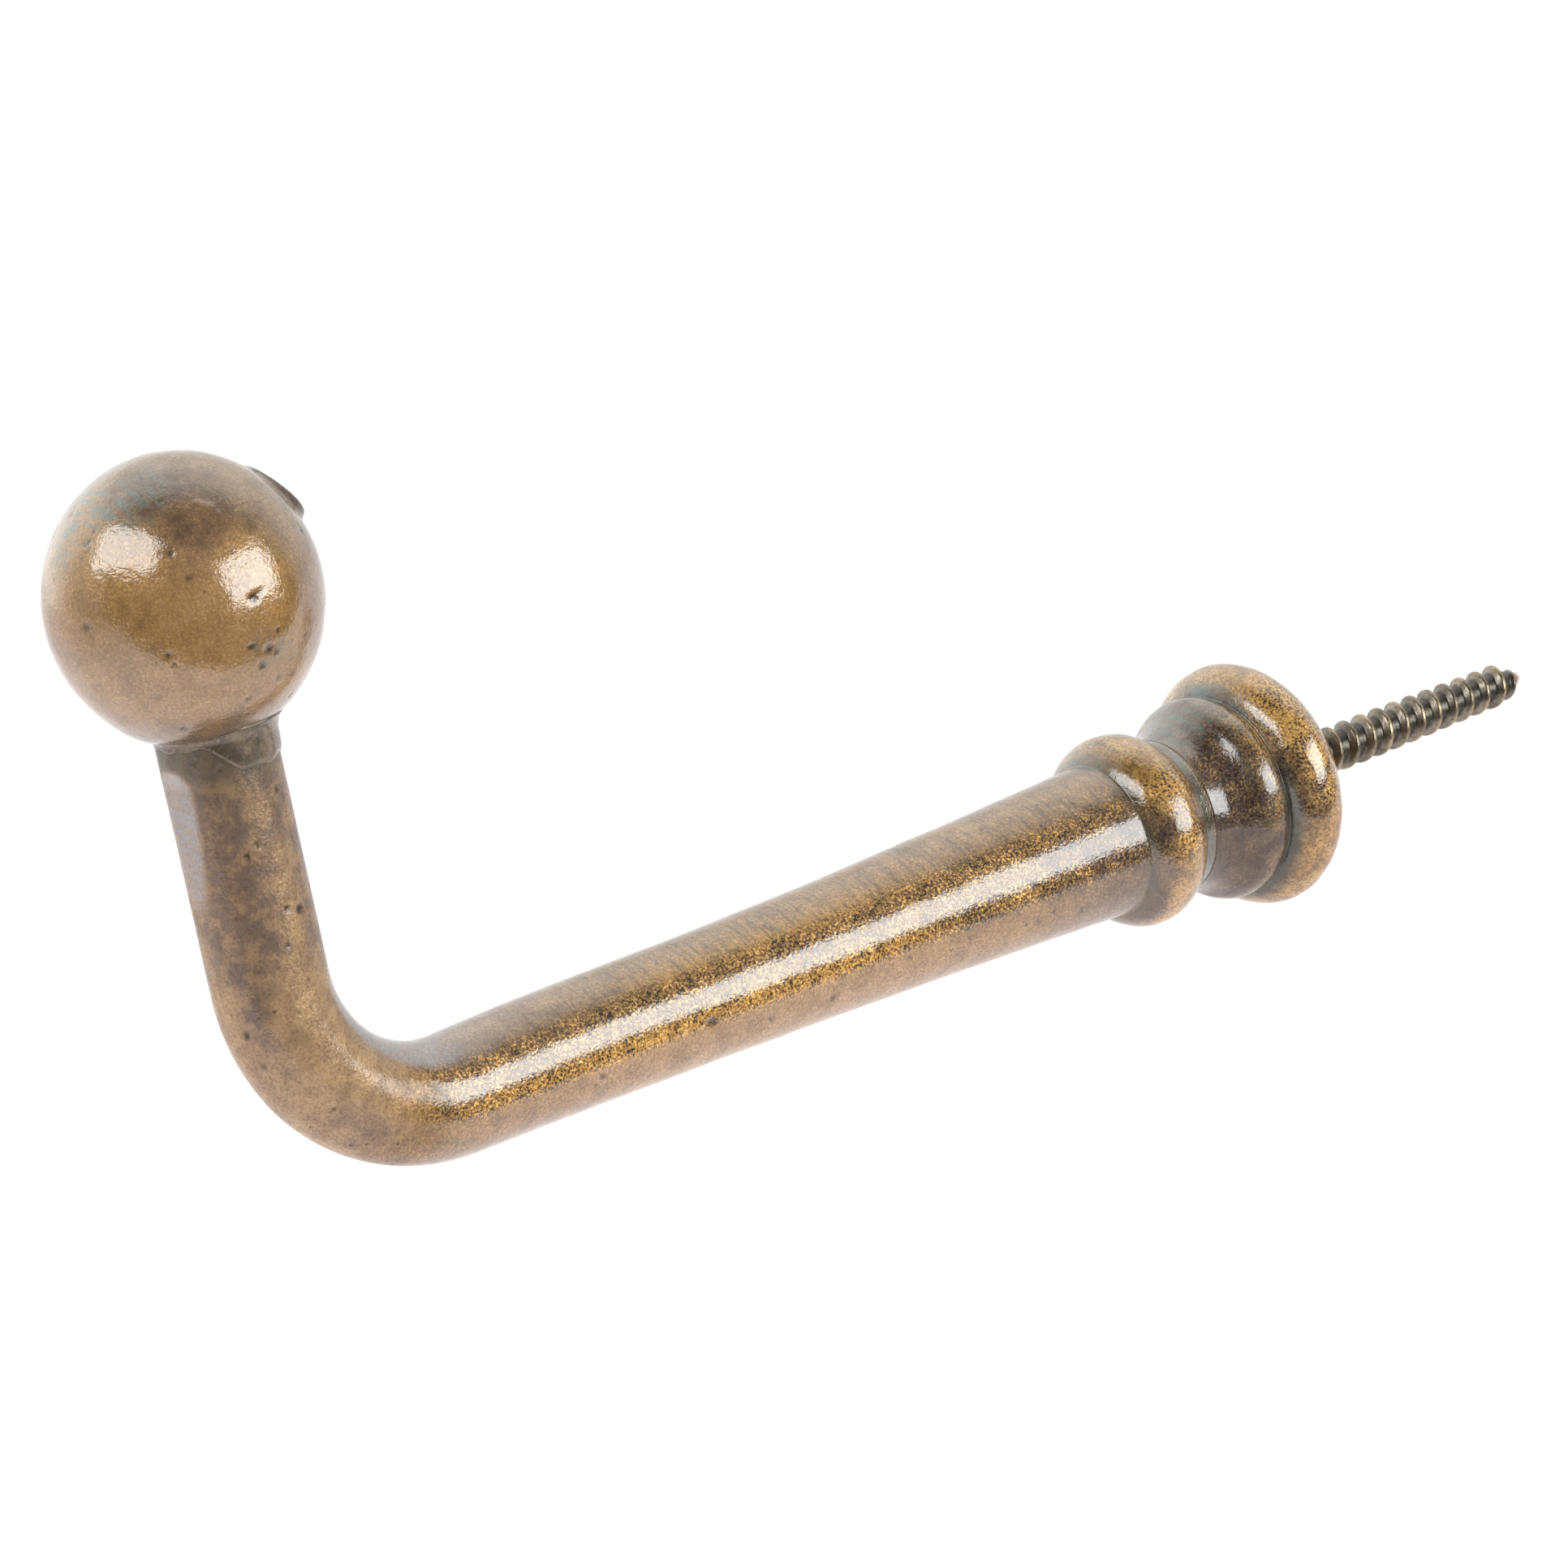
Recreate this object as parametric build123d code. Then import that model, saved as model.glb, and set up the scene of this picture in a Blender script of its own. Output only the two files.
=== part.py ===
from build123d import *
import os
from math import cos, radians, sin, sqrt

# An L-shaped curtain holdback hook. It screws onto a hanger screw that stands in the wall.
# Millimetres. The origin is the centre of the base's wall face, on the screw's axis.
# +Y runs into the wall, -Y out into the room, and +Z up along the hook's arm.
# In the side plane a point is (out from the wall, up), so a turned outline is (out, radius).

# hanger screw: a wood thread in the wall and a machine thread in the hook
SCREW_IN_WALL = 38.0
SCREW_IN_HOOK = 30.0
SHANK_RADIUS = 2.3
SHANK_LENGTH = 4.0
SHANK_TAPER = 1.0
MACHINE_RADIUS = 2.45
MACHINE_START_IN_WALL = 0.5
MACHINE_CHAMFER = 0.6
CORE_RADIUS = 1.75
TIP_RADIUS = 0.6
TIP_LENGTH = 3.0
WOOD_PITCH = 2.5
WOOD_CREST_RADIUS = 2.5
WOOD_CREST_WIDTH = 0.25
WOOD_ROOT_WIDTH = 1.3
THREAD_SINK = 0.15

# base boss: a loose turned bell between the wall and the hook
BORE_RADIUS = 2.5
BACK_RADIUS = 11.5
BACK_CHAMFER = 0.5
RIM_RADIUS = 13.0
RIM_CROWN_OUT = 3.3
CREASE_OUT = 6.5
CREASE_RADIUS = 10.4
SHOULDER_OUT = 8.2
SHOULDER_RADIUS = 10.9
NECK_RADIUS = 8.2
OGEE_LEAN = radians(45)

# hook casting: collar bead, tapered stem, bend and upper arm
COLLAR_ROOT_OUT = 16.3
COLLAR_ROOT_RADIUS = 8.45
COLLAR_OUT = 20.1
COLLAR_RADIUS = 10.2
STEM_START_OUT = 23.7
STEM_START_RADIUS = 8.05
STEM_MIDDLE_RADIUS = 6.55
STEM_END_OUT = 105.5
STEM_END_RADIUS = 5.95
BEND_RADIUS = 16.6
ARM_RADIUS = 5.5
ARM_LENGTH = 24.15
TAPPED_DEPTH = 17.0
DRILL_CONE = 1.4
FLAT_DEPTH = 0.5
FLAT_LENGTH = 17.0
FLAT_TOP_GAP = 3.0
CUT_MARGIN = 1.0

# ball, its hidden stud and the braze at the joint
BALL_RADIUS = 12.7
BALL_HALF_HEIGHT = 13.5
STUD_RADIUS = 2.5
STUD_LENGTH = 16.0
BRAZE_HEIGHT = 3.0
BRAZE_THICKNESS = 0.2
BRAZE_REACH = 6.5
GATE_RADIUS = 3.6
GATE_HEIGHT = 0.8
GATE_ROUND = 0.5
GATE_ELEVATION = 34.0
GATE_AZIMUTH = 78.0

SIDE = Plane(origin=(0, 0, 0), x_dir=(0, -1, 0), z_dir=(-1, 0, 0))

# the shoulder's convex bead runs into a concave cove, which ends level with the neck
shoulder_run = SHOULDER_OUT - CREASE_OUT
shoulder_rise = SHOULDER_RADIUS - CREASE_RADIUS
shoulder_curve = (shoulder_run**2 + shoulder_rise**2) / (2 * shoulder_rise)
ogee_out = SHOULDER_OUT + shoulder_curve * sin(OGEE_LEAN)
ogee_radius = SHOULDER_RADIUS - shoulder_curve * (1 - cos(OGEE_LEAN))
cove_curve = (ogee_radius - NECK_RADIUS) / (1 - cos(OGEE_LEAN))
BOSS_LENGTH = ogee_out + cove_curve * sin(OGEE_LEAN)

arm_out = STEM_END_OUT + BEND_RADIUS
seat_height = BEND_RADIUS + ARM_LENGTH
ball_height = seat_height + BALL_HALF_HEIGHT * sqrt(1 - (ARM_RADIUS / BALL_RADIUS) ** 2)
ARM_AXIS = Axis((0, -arm_out, 0), (0, 0, 1))


def curve_point(centre_out, centre_radius, curve, angle):
    """A point of an arc in the side plane, at an angle from straight up."""
    return (centre_out + curve * sin(angle), centre_radius + curve * cos(angle))


def lines(points):
    """Straight edges from each point to the next."""
    return [Line(a, b) for a, b in zip(points, points[1:])]


def turned(edges, axis=Axis.Y):
    """The solid of revolution of a closed outline in the side plane."""
    return revolve(SIDE * make_face(Curve() + edges), axis=axis)


def make_hanger_screw():
    tip = -SCREW_IN_WALL
    outline = [
        (tip, 0),
        (tip, TIP_RADIUS),
        (tip + TIP_LENGTH, CORE_RADIUS),
        (-SHANK_LENGTH - SHANK_TAPER, CORE_RADIUS),
        (-SHANK_LENGTH, SHANK_RADIUS),
        (-MACHINE_START_IN_WALL, SHANK_RADIUS),
        (-MACHINE_START_IN_WALL, MACHINE_RADIUS),
        (SCREW_IN_HOOK - MACHINE_CHAMFER, MACHINE_RADIUS),
        (SCREW_IN_HOOK, MACHINE_RADIUS - MACHINE_CHAMFER),
        (SCREW_IN_HOOK, 0),
        (tip, 0),
    ]
    return turned(lines(outline)) + make_wood_thread()


def make_wood_thread():
    """A right-hand ridge wound round the core, from the shank to the tip's cone."""
    start = SHANK_LENGTH + SHANK_TAPER
    height = SCREW_IN_WALL - TIP_LENGTH - start - WOOD_ROOT_WIDTH / 2
    root = CORE_RADIUS - THREAD_SINK
    path = Helix(WOOD_PITCH, height, root, center=(0, start, 0), direction=(0, 1, 0))
    section = Plane(origin=path @ 0, x_dir=(path @ 0) - Vector(0, start, 0), z_dir=path % 0)
    ridge = make_face(
        Polyline(
            (0, -WOOD_ROOT_WIDTH / 2),
            (WOOD_CREST_RADIUS - root, -WOOD_CREST_WIDTH / 2),
            (WOOD_CREST_RADIUS - root, WOOD_CREST_WIDTH / 2),
            (0, WOOD_ROOT_WIDTH / 2),
            close=True,
        )
    )
    return sweep(section * ridge, path=path, is_frenet=True)


def make_base_boss():
    shoulder_centre = SHOULDER_RADIUS - shoulder_curve
    shoulder_half = curve_point(SHOULDER_OUT, shoulder_centre, shoulder_curve, OGEE_LEAN / 3)
    cove_centre = NECK_RADIUS + cove_curve
    cove_half = curve_point(BOSS_LENGTH, cove_centre, -cove_curve, OGEE_LEAN / 2)
    ogee = (ogee_out, ogee_radius)
    crease = (CREASE_OUT, CREASE_RADIUS)
    rim_back = (BACK_CHAMFER, BACK_RADIUS + BACK_CHAMFER)
    edges = lines([(0, BORE_RADIUS), (0, BACK_RADIUS), rim_back])
    edges.append(ThreePointArc(rim_back, (RIM_CROWN_OUT, RIM_RADIUS), crease))
    edges.append(ThreePointArc(crease, shoulder_half, ogee))
    edges.append(ThreePointArc(ogee, cove_half, (BOSS_LENGTH, NECK_RADIUS)))
    edges += lines([(BOSS_LENGTH, NECK_RADIUS), (BOSS_LENGTH, BORE_RADIUS), (0, BORE_RADIUS)])
    return turned(edges)


def make_stem():
    """Collar and stem, turned, with the blind hole for the machine thread."""
    hole_end = BOSS_LENGTH + TAPPED_DEPTH
    collar_root = (COLLAR_ROOT_OUT, COLLAR_ROOT_RADIUS)
    stem_start = (STEM_START_OUT, STEM_START_RADIUS)
    stem_middle = ((STEM_START_OUT + STEM_END_OUT) / 2, STEM_MIDDLE_RADIUS)
    stem_end = (STEM_END_OUT, STEM_END_RADIUS)
    edges = lines([(BOSS_LENGTH, BORE_RADIUS), (BOSS_LENGTH, NECK_RADIUS), collar_root])
    edges.append(ThreePointArc(collar_root, (COLLAR_OUT, COLLAR_RADIUS), stem_start))
    edges.append(ThreePointArc(stem_start, stem_middle, stem_end))
    edges += lines([
        stem_end,
        (STEM_END_OUT, 0),
        (hole_end + DRILL_CONE, 0),
        (hole_end, BORE_RADIUS),
        (BOSS_LENGTH, BORE_RADIUS),
    ])
    return turned(edges)


def make_bend():
    """The quarter turn from the stem up into the arm, narrowing on the way."""
    centre = (STEM_END_OUT, BEND_RADIUS)
    path = SIDE * CenterArc(centre, BEND_RADIUS, -90, 90)
    start = Plane(origin=path @ 0, z_dir=path % 0) * Circle(STEM_END_RADIUS)
    end = Plane(origin=path @ 1, z_dir=path % 1) * Circle(ARM_RADIUS)
    return sweep([start, end], path=path, multisection=True)


def make_upper_arm():
    """The straight upper arm, with a flat ground along its outer side that fades downwards."""
    arm = upright_cylinder(ARM_RADIUS, BEND_RADIUS, ARM_LENGTH)
    top = seat_height - FLAT_TOP_GAP
    outer = arm_out + ARM_RADIUS
    wedge = [
        (outer + CUT_MARGIN, top),
        (outer - FLAT_DEPTH, top),
        (outer, top - FLAT_LENGTH),
        (outer + CUT_MARGIN, top - FLAT_LENGTH),
    ]
    cutter = extrude(SIDE * make_face(Polyline(*wedge, close=True)), amount=ARM_RADIUS, both=True)
    return arm - cutter - make_ball_stud()


def upright_cylinder(radius, bottom, height):
    """A cylinder on the upper arm's axis."""
    return Pos(0, -arm_out, bottom + height / 2) * Cylinder(radius, height)


def make_ball_stud():
    """The stud that joins ball and arm, half in each."""
    return upright_cylinder(STUD_RADIUS, seat_height - STUD_LENGTH / 2, STUD_LENGTH)


def make_arm():
    return make_stem() + make_bend() + make_upper_arm()


def make_ball_blank():
    """The cast ball, a little taller than it is wide, on its arm's axis."""
    centre = (arm_out, ball_height)
    bulge = EllipticalCenterArc(centre, BALL_RADIUS, BALL_HALF_HEIGHT, -90, arc_size=180)
    poles = [(arm_out, ball_height + BALL_HALF_HEIGHT), (arm_out, ball_height - BALL_HALF_HEIGHT)]
    return turned([bulge] + lines(poles), ARM_AXIS)


def make_gate_stub():
    """What is left of the casting gate: a low round pad on the ball's wall side."""
    centre = Vector(0, -arm_out, ball_height)
    lean = radians(GATE_ELEVATION)
    turn = radians(GATE_AZIMUTH)
    out = Vector(cos(lean) * cos(turn), cos(lean) * sin(turn), sin(lean))
    height = BALL_RADIUS + GATE_HEIGHT
    pad = Cylinder(GATE_RADIUS, height, align=(Align.CENTER, Align.CENTER, Align.MIN))
    pad = fillet(pad.edges().sort_by(Axis.Z)[-1], GATE_ROUND)
    return Plane(origin=centre, z_dir=out) * pad


def make_ball():
    """The ball with its gate stub, flat where it sits on the arm, and the stud's hole."""
    below_seat = upright_cylinder(BALL_RADIUS, seat_height - BALL_RADIUS, BALL_RADIUS)
    return make_ball_blank() + make_gate_stub() - below_seat - make_ball_stud()


def make_braze_fillet():
    """A band of filler metal in the corner where the arm meets the ball."""
    band = arm_out + ARM_RADIUS
    rise = BALL_HALF_HEIGHT * sqrt(1 - (BRAZE_REACH / BALL_RADIUS) ** 2)
    reach = (arm_out + BRAZE_REACH, ball_height - rise)
    outline = [
        (band, seat_height - BRAZE_HEIGHT),
        (band + BRAZE_THICKNESS, seat_height - BRAZE_HEIGHT),
        (band + 2 * BRAZE_THICKNESS, seat_height - 2 * BRAZE_THICKNESS),
        reach,
        (band, reach[1]),
        (band, seat_height - BRAZE_HEIGHT),
    ]
    return turned(lines(outline), ARM_AXIS) - make_ball_blank()


def main():
    nodes = {
        "hanger_screw": make_hanger_screw(),
        "base_boss": make_base_boss(),
        "arm": make_arm(),
        "ball": make_ball(),
        "ball_stud": make_ball_stud(),
        "braze_fillet": make_braze_fillet(),
    }
    os.makedirs("parts", exist_ok=True)
    for name, part in nodes.items():
        export_step(part, f"parts/{name}.step")
        print(name, "volume", round(part.volume, 2), "mm3, solids", len(part.solids()))
    print("boss length", round(BOSS_LENGTH, 4), "seat height", seat_height)
    print("ball height", round(ball_height, 4), "arm out", arm_out)


if __name__ == "__main__":
    main()
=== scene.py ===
from math import asin, cos, pi, radians, sin, sqrt, tan

import bpy
import numpy as np
from mathutils import Matrix, Vector, noise


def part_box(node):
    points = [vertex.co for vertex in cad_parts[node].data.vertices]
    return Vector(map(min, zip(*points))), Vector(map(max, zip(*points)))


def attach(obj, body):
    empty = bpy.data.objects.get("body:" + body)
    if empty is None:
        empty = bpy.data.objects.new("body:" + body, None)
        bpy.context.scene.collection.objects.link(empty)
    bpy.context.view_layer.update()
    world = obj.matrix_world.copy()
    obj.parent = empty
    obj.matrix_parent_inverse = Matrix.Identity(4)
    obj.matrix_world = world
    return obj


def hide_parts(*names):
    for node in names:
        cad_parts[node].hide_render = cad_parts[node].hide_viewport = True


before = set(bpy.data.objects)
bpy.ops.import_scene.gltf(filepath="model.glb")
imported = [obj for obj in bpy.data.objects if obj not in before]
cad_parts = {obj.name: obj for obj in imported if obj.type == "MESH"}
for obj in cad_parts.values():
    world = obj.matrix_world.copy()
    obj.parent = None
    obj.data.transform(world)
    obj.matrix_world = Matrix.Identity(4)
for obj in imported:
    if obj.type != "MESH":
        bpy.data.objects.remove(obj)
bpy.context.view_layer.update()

# Lengths are millimetres until a mesh is made. The frame is the CAD's: the origin is the centre
# of the wall face, -Y runs out into the room and +Z up the hook's arm.
MM = 0.001

# where the CAD puts things
arm_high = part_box("arm")[1] / MM
ball_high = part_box("ball")[1] / MM
boss_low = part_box("base_boss")[0] / MM
screw_low, screw_high = (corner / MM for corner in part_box("hanger_screw"))
stud_low, stud_high = (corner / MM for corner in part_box("ball_stud"))

# the turned boss, as (out from the wall, radius)
BORE_RADIUS = 2.5
BACK_RADIUS = 11.5
BACK_CHAMFER = 0.5
RIM_CROWN = (3.3, 13.0)
CREASE = (6.5, 10.4)
SHOULDER = (8.2, 10.9)
NECK_RADIUS = 8.2
OGEE_LEAN = radians(45)
BOSS_LENGTH = -boss_low.y

# the hook casting, whose end face keeps a hair off the boss
FACE_GAP = 0.03
HOOK_FACE = BOSS_LENGTH + FACE_GAP
COLLAR_ROOT = (16.3, 8.45)
COLLAR_CROWN = (20.1, 10.2)
STEM_START = (23.7, 8.05)
STEM_MIDDLE = (64.6, 6.55)
STEM_END = (105.5, 5.95)
ARM_RADIUS = 5.5
SWELL = 0.35
SWELL_PLACE = (92, 14)
TAPPED_DEPTH = 17.0
DRILL_CONE = 1.4
ARM_OUT = -(stud_low.y + stud_high.y) / 2
BEND_RADIUS = ARM_OUT - STEM_END[0]
SEAT_HEIGHT = arm_high.z
BEND_END = STEM_END[0] + BEND_RADIUS * pi / 2

# the flat ground on the arm: its depth, where it starts below the seat, where it fades out, how soft
# its edge is, and the least cosine to the room's way at which it cuts
FLAT_DEPTH = 0.55
FLAT_TOP = (1.75, 4.6)
FLAT_FADE = (5.5, 19.5)
FLAT_SOFTNESS = 0.10
FLAT_SIDE = 0.2
OUT_OF_REACH = 50

# fine pits: how many, the stem's clean side by angle from +X, their radii, their depth as a share of
# the radius, and the depth at which one is fully dark
STEM_PITS = 70
BEND_PITS = 20
ARM_PITS = 20
BALL_PITS = 60
CLEAN_SIDE = (-2, 50)
PIT_SIZES = (0.25, 0.5)
PIT_SLOPE = 0.25
PIT_SHADE_DEPTH = 0.10

# the ball
BALL_RADIUS = ball_high.x
BALL_HALF_HEIGHT = 13.5
BALL_HEIGHT = SEAT_HEIGHT + BALL_HALF_HEIGHT * sqrt(1 - (ARM_RADIUS / BALL_RADIUS) ** 2)
STUD_RADIUS = stud_high.x
SOCKET_RADII = (3.2, 3.9, 4.7)
GATE_RADIUS = 3.6
GATE_HEIGHT = 0.8
GATE_ELEVATION = radians(34)
GATE_AZIMUTH = radians(78)
GATE_EDGE = (-0.7, 0.2)
GATE_FACE = (-0.28, 0.16)
GATE_UPPER_SHARE = 0.25

# the braze band, by its least size, what its thick side adds, and how much it waves
BRAZE_HEIGHT = np.array([0.5, 2.7, 0.35])
BRAZE_CLIMB = np.array([0.25, 0.45, 0.10])
BRAZE_THICKNESS = np.array([0.07, 0.26])
BRAZE_SINK = 0.5
BRAZE_THICK_AT = radians(60)
BRAZE_THIN_BEYOND = radians(112)

# the hanger screw
SCREW_IN_WALL = screw_high.y
SCREW_IN_HOOK = -screw_low.y
SHANK_RADIUS = 2.3
SHANK_LENGTH = 4.0
MACHINE_RADIUS = 2.45
MACHINE_DEPTH = 0.49
MACHINE_PITCH = 0.8
MACHINE_START = -0.5
CORE_RADIUS = 1.75
WOOD_PITCH = 2.5
WOOD_CREST_RADIUS = 2.5
WOOD_TAPER = 26
CREST_AT_TIP = 0.9
CORE_AT_TIP = 0.88
TIP_LENGTH = 3.0
TIP_RADIUS = 0.5
TIP_BULGE = 0.8
END_CHAMFER = 0.6

# where each thread's flat crest ends and its root begins, as shares of half a pitch
WOOD_PROFILE = (0.10, 0.62)
MACHINE_PROFILE = (0.12, 0.9)

# how fine the meshes are: points round each piece, rings, how near the pole the ball's last ring is
# in radians, and steps along an outline
BOSS_SIDES = 192
CASTING_SIDES = 128
BALL_SIDES = 224
BRAZE_SIDES = 160
SCREW_SIDES = 72
BEND_RINGS = 84
BALL_RINGS = 150
SOCKET_RINGS = 12
POLE_GAP = 0.01
BACK_STEP = 0.8
CHAMFER_STEP = 0.2
CURVE_STEP = 0.16
HIDDEN_STEP = 0.6
COLLAR_STEP = 0.14
STEM_STEP = 0.34
ARM_STEP = 0.3
WOOD_STEP = 0.08
SHANK_STEP = 0.25
MACHINE_STEP = 0.09

# how uneven each surface is, as layers of (height, size, seed)
BOSS_LUMPS = [(0.05, 7.0, 3.1), (0.045, 2.4, 9.4)]
CASTING_LUMPS = [(0.035, 11.0, 0.0), (0.014, 3.2, 5.0), (0.010, 1.1, 8.0)]
COLLAR_LUMPS = [(0.030, 2.4, 6.0)]
BALL_LUMPS = [(0.08, 9.0, 2.0), (0.03, 3.5, 7.0), (0.010, 1.1, 8.0)]


# ---------------------------------------------------------------- outlines

def straight(start, end, step):
    """Points from start to end, in steps of about that length."""
    length = np.hypot(end[0] - start[0], end[1] - start[1])
    count = max(2, int(round(length / step)) + 1)
    return np.linspace(start, end, count)


def arc(start, middle, end, step):
    """Points along the arc through three points."""
    (x1, y1), (x2, y2), (x3, y3) = start, middle, end
    lean = 2 * (x1 * (y2 - y3) + x2 * (y3 - y1) + x3 * (y1 - y2))
    s1, s2, s3 = x1**2 + y1**2, x2**2 + y2**2, x3**2 + y3**2
    cx = (s1 * (y2 - y3) + s2 * (y3 - y1) + s3 * (y1 - y2)) / lean
    cy = (s1 * (x3 - x2) + s2 * (x1 - x3) + s3 * (x2 - x1)) / lean
    radius = np.hypot(x1 - cx, y1 - cy)
    begin, through, stop = (np.arctan2(y - cy, x - cx) for x, y in (start, middle, end))
    turn = (stop - begin) % (2 * pi)
    if (through - begin) % (2 * pi) > turn:
        turn -= 2 * pi
    count = max(3, int(round(radius * abs(turn) / step)) + 1)
    angles = begin + np.linspace(0, turn, count)
    return np.stack([cx + radius * np.cos(angles), cy + radius * np.sin(angles)], 1)


def joined(*runs):
    """One outline from runs that meet end to end."""
    return np.concatenate([runs[0]] + [run[1:] for run in runs[1:]])


def circle_angles(count):
    """That many angles round a circle."""
    return np.arange(count) * 2 * pi / count


def smooth(value, low, high):
    """0 below low, 1 above high, and an S curve between."""
    part = np.clip((value - low) / (high - low), 0, 1)
    return part * part * (3 - 2 * part)


def bell(value, centre, width):
    """1 at the centre, falling away to almost 0 at twice the width on either side."""
    return np.exp(-(((value - centre) / width) ** 2))


def near(angles, centre, width):
    """1 where an angle is the centre, in degrees, falling away over the width."""
    return bell((np.degrees(angles) - centre + 180) % 360 - 180, 0, width)


def above(angles, start, full):
    """0 below the first angle, in degrees, and 1 above the second."""
    return smooth(np.degrees(angles), start, full)


def between(angles, start, full, fade, end):
    """1 between full and fade, in degrees, and 0 before start and after end."""
    return above(angles, start, full) * (1 - above(angles, fade, end))


def mirrored(angles):
    """The same angles with the -X side given the +X side's, so that both sides look alike."""
    return np.arcsin(np.sin(angles))


def lumps(points, size, seed=0.0):
    """Smooth noise between about -1 and 1, with features of that size, at each point."""
    flat = points.reshape(-1, 3) / size + seed
    values = [noise.noise(Vector(p)) for p in flat]
    return np.array(values).reshape(points.shape[:-1]) * 1.6


def uneven(points, layers):
    """How far each point moves out for layers of lumps: (height, size, seed)."""
    return sum(height * lumps(points, size, seed) for height, size, seed in layers)


def dents(points, marks):
    """How far each point moves out for the marks: (centre, radius, height), a pit's height below 0."""
    rise = np.zeros(points.shape[:-1])
    for centre, radius, height in marks:
        away = np.linalg.norm(points - np.array(centre), axis=-1)
        rise = rise + height * (1 - smooth(away, 0.15 * radius, radius))
    return rise


# ---------------------------------------------------------------- meshes

def skin(name, rings, masks=None, looped=False):
    """A closed mesh through rings of points in millimetres, each ring turning about its forward way.

    A looped skin joins its last ring to its first, and any other closes at a point at either end.
    The masks are named numbers, one for each point, that the materials read.
    """
    count, around = rings.shape[:2]
    points = rings.reshape(-1, 3) * MM
    here = np.arange(count * around).reshape(count, around)
    across = np.roll(here, -1, axis=1)
    if looped:
        ahead, ahead_across = np.roll(here, -1, axis=0), np.roll(across, -1, axis=0)
    else:
        ahead, ahead_across = here[1:], across[1:]
        here, across = here[:-1], across[:-1]
    faces = np.stack([here, across, ahead_across, ahead], -1).reshape(-1, 4).tolist()
    if not looped:
        poles = [rings[0].mean(0) * MM, rings[-1].mean(0) * MM]
        points = np.concatenate([points, poles])
        first, last = count * around, count * around + 1
        top = (count - 1) * around
        for j in range(around):
            k = (j + 1) % around
            faces.append((first, k, j))
            faces.append((last, top + j, top + k))
    mesh = bpy.data.meshes.new(name)
    mesh.from_pydata(points.tolist(), [], faces)
    mesh.shade_smooth()
    for mask, values in (masks or {}).items():
        layer = mesh.attributes.new(mask, "FLOAT", "POINT")
        spare = len(points) - count * around
        layer.data.foreach_set("value", np.append(values.ravel(), np.zeros(spare)).astype(np.float32))
    mesh.update()
    piece = bpy.data.objects.new(name, mesh)
    bpy.context.scene.collection.objects.link(piece)
    return piece


def turned(outline, angles):
    """Rings about the stem's axis through (out, radius) points."""
    out, radius = outline[:, :1], outline[:, 1:]
    return np.stack([radius * np.cos(angles), -out + 0 * angles, radius * np.sin(angles)], -1)


def upright(section, angles):
    """Rings about the arm's axis through (radius, height) points."""
    return np.stack([
        np.stack([r * np.cos(angles), r * np.sin(angles) - ARM_OUT, z + 0 * angles], -1)
        for r, z in section
    ])


def with_hidden(masks, before, after=0):
    """The masks with zeros for so many rings before and after them, which are out of sight."""
    return {name: np.pad(values, ((before, after), (0, 0))) for name, values in masks.items()}


def place(piece, material, body, node):
    """Puts a piece on its body, in place of the CAD's node."""
    piece.data.materials.append(material)
    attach(piece, body)
    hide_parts(node)


# ---------------------------------------------------------------- the pieces

# The masks say where each finish is. In them, out and s are millimetres along the piece from the wall
# face, turn is the angle from +X towards the upper side, or on the arm towards the wall, and near()
# takes degrees. The numbers in them are places and strengths.

def boss_outline():
    """The closed outline of the boss: back, rim, crease, shoulder bead, cove and bore."""
    run = SHOULDER[0] - CREASE[0]
    rise = SHOULDER[1] - CREASE[1]
    bead = (run**2 + rise**2) / (2 * rise)
    ogee = (SHOULDER[0] + bead * sin(OGEE_LEAN), SHOULDER[1] - bead * (1 - cos(OGEE_LEAN)))
    bead_half = OGEE_LEAN / 3
    half = (SHOULDER[0] + bead * sin(bead_half), SHOULDER[1] - bead * (1 - cos(bead_half)))
    cove = (BOSS_LENGTH - ogee[0]) / sin(OGEE_LEAN)
    cove_half = (BOSS_LENGTH - cove * sin(OGEE_LEAN / 2),
                 NECK_RADIUS + cove * (1 - cos(OGEE_LEAN / 2)))
    back = (0, BACK_RADIUS)
    chamfer = (BACK_CHAMFER, BACK_RADIUS + BACK_CHAMFER)
    end = (BOSS_LENGTH, NECK_RADIUS)
    return joined(
        straight((0, BORE_RADIUS), back, BACK_STEP),
        straight(back, chamfer, CHAMFER_STEP),
        arc(chamfer, RIM_CROWN, CREASE, CURVE_STEP),
        arc(CREASE, half, ogee, CURVE_STEP),
        arc(ogee, cove_half, end, CURVE_STEP),
        straight(end, (BOSS_LENGTH, BORE_RADIUS), HIDDEN_STEP),
        straight((BOSS_LENGTH, BORE_RADIUS), (0, BORE_RADIUS), HIDDEN_STEP),
    )[:-1]


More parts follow.
